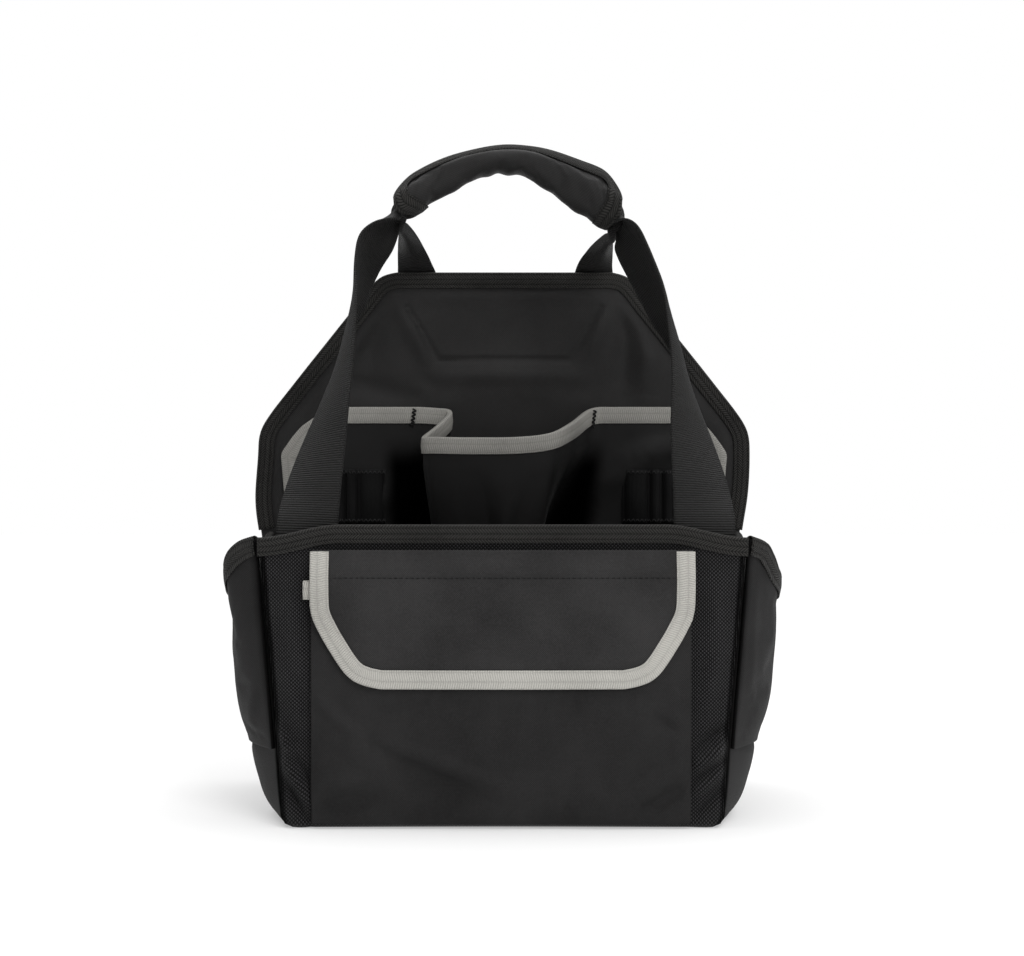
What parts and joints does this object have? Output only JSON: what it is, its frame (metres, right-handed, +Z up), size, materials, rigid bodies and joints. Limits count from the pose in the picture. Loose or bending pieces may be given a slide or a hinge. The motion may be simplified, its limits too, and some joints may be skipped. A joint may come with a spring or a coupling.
{
  "type": "tool bag",
  "caption": "Open-topped fabric tool tote with a flap pocket in front, side pouches, a tall padded back wall with inner pockets, and webbing straps gathered in a padded carry handle.",
  "frame": {"origin": "centre of the bag's outline on the floor, under the middle of its bounding box", "axes": "+Z up, +X to the right as seen from the front, +Y towards the tall back wall; the front with the flap pocket faces -Y"},
  "size_m": [0.3722, 0.2179, 0.4363],
  "materials": {
    "smooth_cloth": "fine plain weave, matt",
    "coarse_cloth": "coarse basket weave",
    "padded_cloth": "fine plain weave over padding",
    "webbing": "ribbed webbing",
    "elastic": "ribbed elastic",
    "black_tape": "herringbone tape",
    "grey_tape": "herringbone tape",
    "base_cloth": "coarse cloth over a stiff board",
    "stud_metal": "plated"
  },
  "bodies": {
    "root": {"base_panel": "base_cloth", "foot_front_left": "stud_metal", "foot_front_right": "stud_metal", "foot_back_left": "stud_metal", "foot_back_right": "stud_metal", "front_wall": "coarse_cloth", "front_rim_binding": "black_tape", "side_wall_left": "smooth_cloth", "side_wall_right": "smooth_cloth", "side_rim_binding_left": "black_tape", "side_rim_binding_right": "black_tape", "side_pouch_left": "smooth_cloth", "side_pouch_right": "smooth_cloth", "side_pouch_binding_left": "black_tape", "side_pouch_binding_right": "black_tape", "back_wall": "padded_cloth", "back_wall_binding": "black_tape", "inner_pocket_panel": "smooth_cloth", "inner_pocket_tape": "grey_tape", "tool_loops_left": "elastic", "tool_loops_right": "elastic", "front_pocket": "smooth_cloth", "front_pocket_tape": "grey_tape", "front_flap": "smooth_cloth", "front_flap_tape": "grey_tape", "handle_pad": "padded_cloth", "handle_pad_binding": "black_tape", "front_strap": "webbing", "rear_strap": "webbing"}
  },
  "joints": []
}
